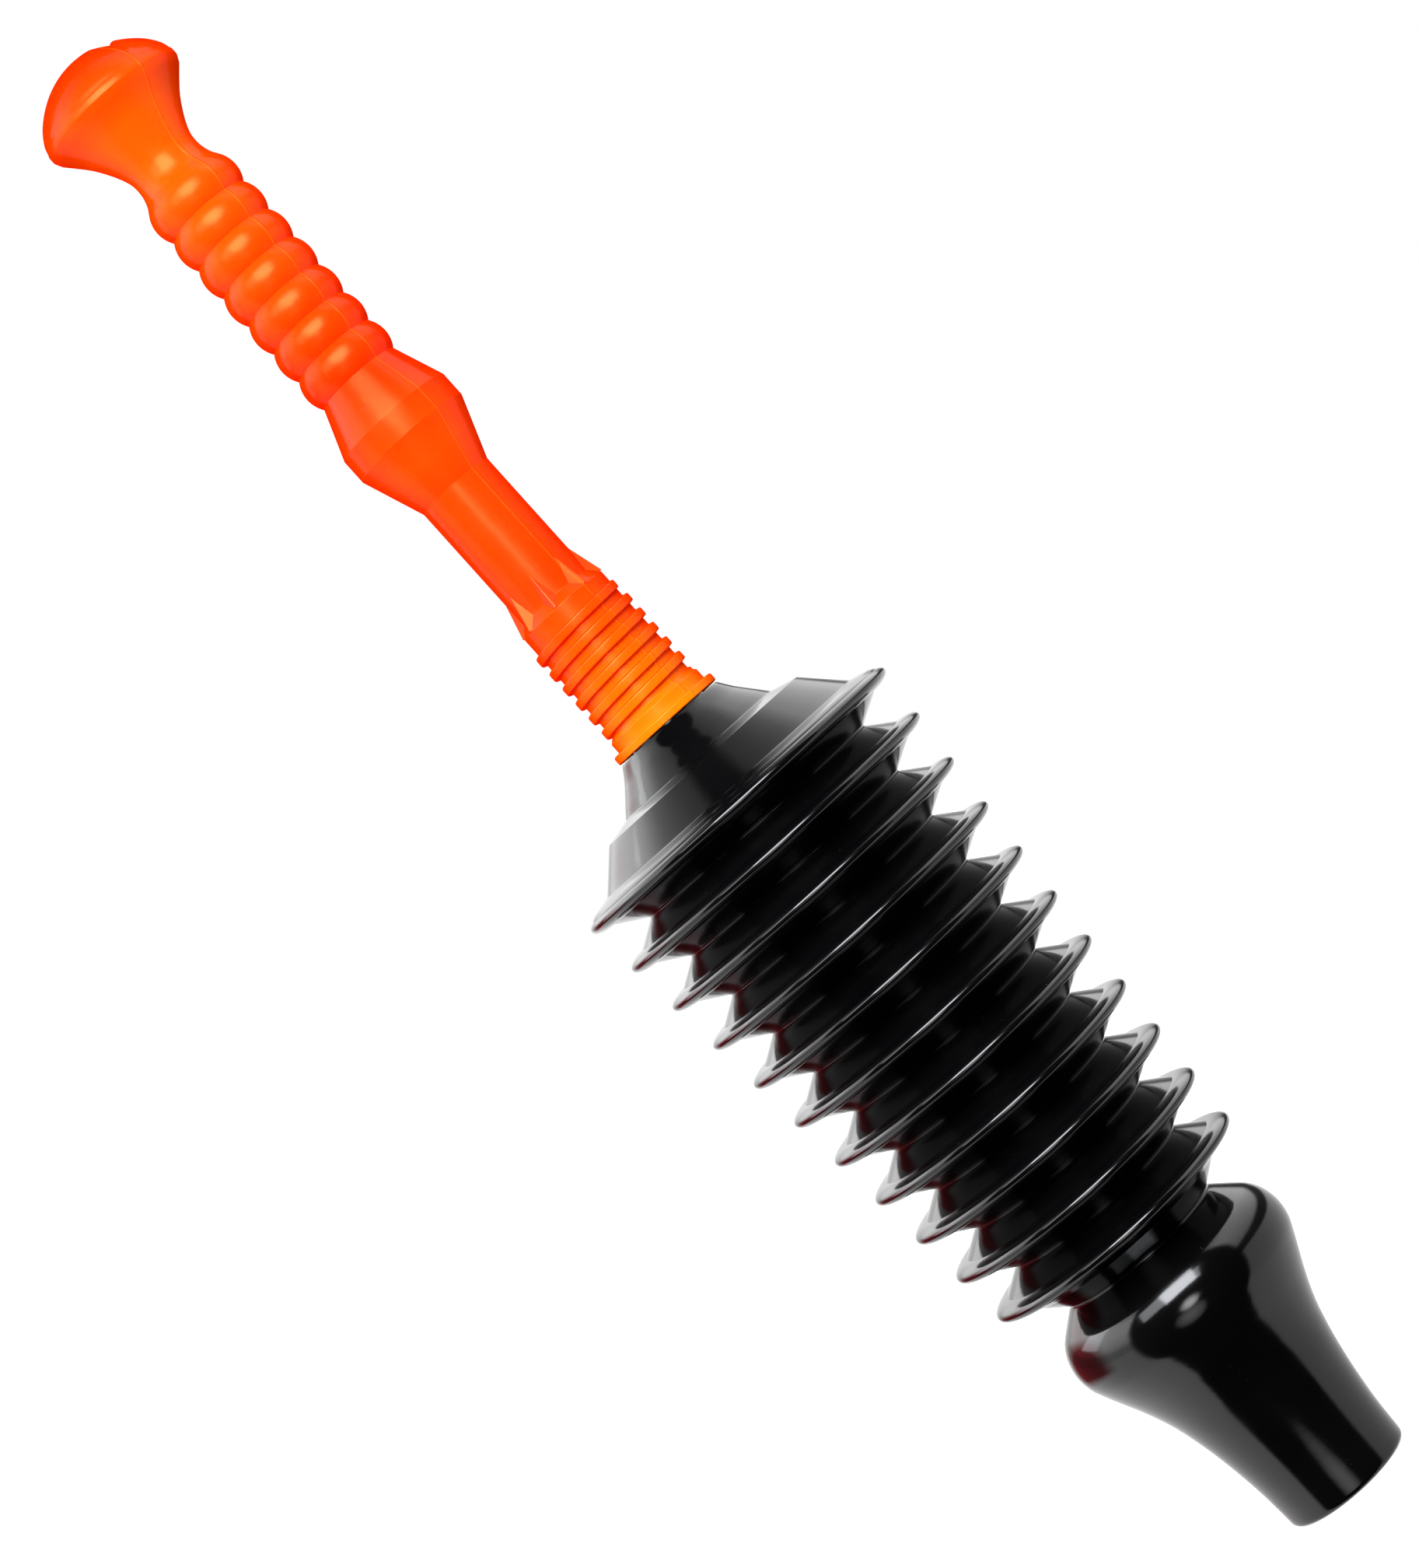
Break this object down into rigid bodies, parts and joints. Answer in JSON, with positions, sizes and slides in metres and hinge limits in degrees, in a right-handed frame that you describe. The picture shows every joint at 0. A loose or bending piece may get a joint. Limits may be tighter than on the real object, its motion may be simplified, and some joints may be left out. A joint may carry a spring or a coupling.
{
  "type": "bellows plunger",
  "caption": "Accordion bellows toilet plunger: black ringed bellows with a tapered nozzle, and a screw-on hollow handle with a ribbed grip and domed knob.",
  "frame": {"origin": "centre of the nozzle's lip, on the plane it stands on", "axes": "+Z along the axis, from the nozzle up to the handle's knob; +X and +Y are across"},
  "size_m": [0.1304, 0.1304, 0.631],
  "materials": {
    "handle": "satin orange polyethylene",
    "bellows": "glossy black polyethylene",
    "seal": "matt black elastomer"
  },
  "bodies": {
    "nozzle": {"nozzle": "bellows"},
    "ring_11": {"convolution_11": "bellows"},
    "ring_10": {"convolution_10": "bellows"},
    "ring_09": {"convolution_09": "bellows"},
    "ring_08": {"convolution_08": "bellows"},
    "ring_07": {"convolution_07": "bellows"},
    "ring_06": {"convolution_06": "bellows"},
    "ring_05": {"convolution_05": "bellows"},
    "ring_04": {"convolution_04": "bellows"},
    "ring_03": {"convolution_03": "bellows"},
    "ring_02": {"convolution_02": "bellows"},
    "ring_01": {"bellows_top": "bellows"},
    "neck": {"bellows_neck": "bellows"},
    "seal": {"neck_seal": "seal"},
    "handle": {"handle": "handle"}
  },
  "joints": [
    {"name": "nozzle_flex", "type": "hinge", "parent": "nozzle", "child": "ring_11", "pos_m": [0, 0, 0.1045], "axis": [0, 1, 0], "range_deg": [-12, 12], "stiffness_Nm_per_rad": 6, "deforming": ["convolution_11"]},
    {"name": "bellows_stroke", "type": "slide", "parent": "ring_11", "child": "ring_10", "axis": [0, 0, -1], "range_m": [-0.003, 0.008], "stiffness_N_per_m": 12000, "deforming": ["convolution_10"]},
    {"name": "fold_09_10", "type": "slide", "parent": "ring_10", "child": "ring_09", "axis": [0, 0, -1], "range_m": [-0.003, 0.008], "stiffness_N_per_m": 12000, "deforming": ["convolution_09"]},
    {"name": "fold_08_09", "type": "slide", "parent": "ring_09", "child": "ring_08", "axis": [0, 0, -1], "range_m": [-0.003, 0.008], "stiffness_N_per_m": 12000, "deforming": ["convolution_08"]},
    {"name": "fold_07_08", "type": "slide", "parent": "ring_08", "child": "ring_07", "axis": [0, 0, -1], "range_m": [-0.003, 0.008], "stiffness_N_per_m": 12000, "deforming": ["convolution_07"]},
    {"name": "fold_06_07", "type": "slide", "parent": "ring_07", "child": "ring_06", "axis": [0, 0, -1], "range_m": [-0.003, 0.008], "stiffness_N_per_m": 12000, "deforming": ["convolution_06"]},
    {"name": "fold_05_06", "type": "slide", "parent": "ring_06", "child": "ring_05", "axis": [0, 0, -1], "range_m": [-0.003, 0.008], "stiffness_N_per_m": 12000, "deforming": ["convolution_05"]},
    {"name": "fold_04_05", "type": "slide", "parent": "ring_05", "child": "ring_04", "axis": [0, 0, -1], "range_m": [-0.003, 0.008], "stiffness_N_per_m": 12000, "deforming": ["convolution_04"]},
    {"name": "fold_03_04", "type": "slide", "parent": "ring_04", "child": "ring_03", "axis": [0, 0, -1], "range_m": [-0.003, 0.008], "stiffness_N_per_m": 12000, "deforming": ["convolution_03"]},
    {"name": "fold_02_03", "type": "slide", "parent": "ring_03", "child": "ring_02", "axis": [0, 0, -1], "range_m": [-0.003, 0.008], "stiffness_N_per_m": 12000, "deforming": ["convolution_02"]},
    {"name": "fold_01_02", "type": "slide", "parent": "ring_02", "child": "ring_01", "axis": [0, 0, -1], "range_m": [-0.003, 0.008], "stiffness_N_per_m": 12000, "deforming": ["bellows_top"]},
    {"name": "handle_tilt", "type": "hinge", "parent": "ring_01", "child": "neck", "pos_m": [0, 0, 0.32], "axis": [1, 0, 0], "range_deg": [-8, 8], "stiffness_Nm_per_rad": 6},
    {"name": "handle_lift", "type": "slide", "parent": "neck", "child": "seal", "axis": [0, 0, 1], "range_m": [0, 0.0388]},
    {"name": "handle_unscrew", "type": "hinge", "parent": "seal", "child": "handle", "pos_m": [0, 0, 0.385], "axis": [0, 0, 1], "range_deg": [0, 2160]}
  ],
  "couplings": [
    {"joint": "fold_09_10", "follows": "bellows_stroke", "ratio": 1},
    {"joint": "fold_08_09", "follows": "bellows_stroke", "ratio": 1},
    {"joint": "fold_07_08", "follows": "bellows_stroke", "ratio": 1},
    {"joint": "fold_06_07", "follows": "bellows_stroke", "ratio": 1},
    {"joint": "fold_05_06", "follows": "bellows_stroke", "ratio": 1},
    {"joint": "fold_04_05", "follows": "bellows_stroke", "ratio": 1},
    {"joint": "fold_03_04", "follows": "bellows_stroke", "ratio": 1},
    {"joint": "fold_02_03", "follows": "bellows_stroke", "ratio": 1},
    {"joint": "fold_01_02", "follows": "bellows_stroke", "ratio": 1},
    {"joint": "handle_lift", "follows": "handle_unscrew", "m_per_rad": 0.0010265}
  ]
}
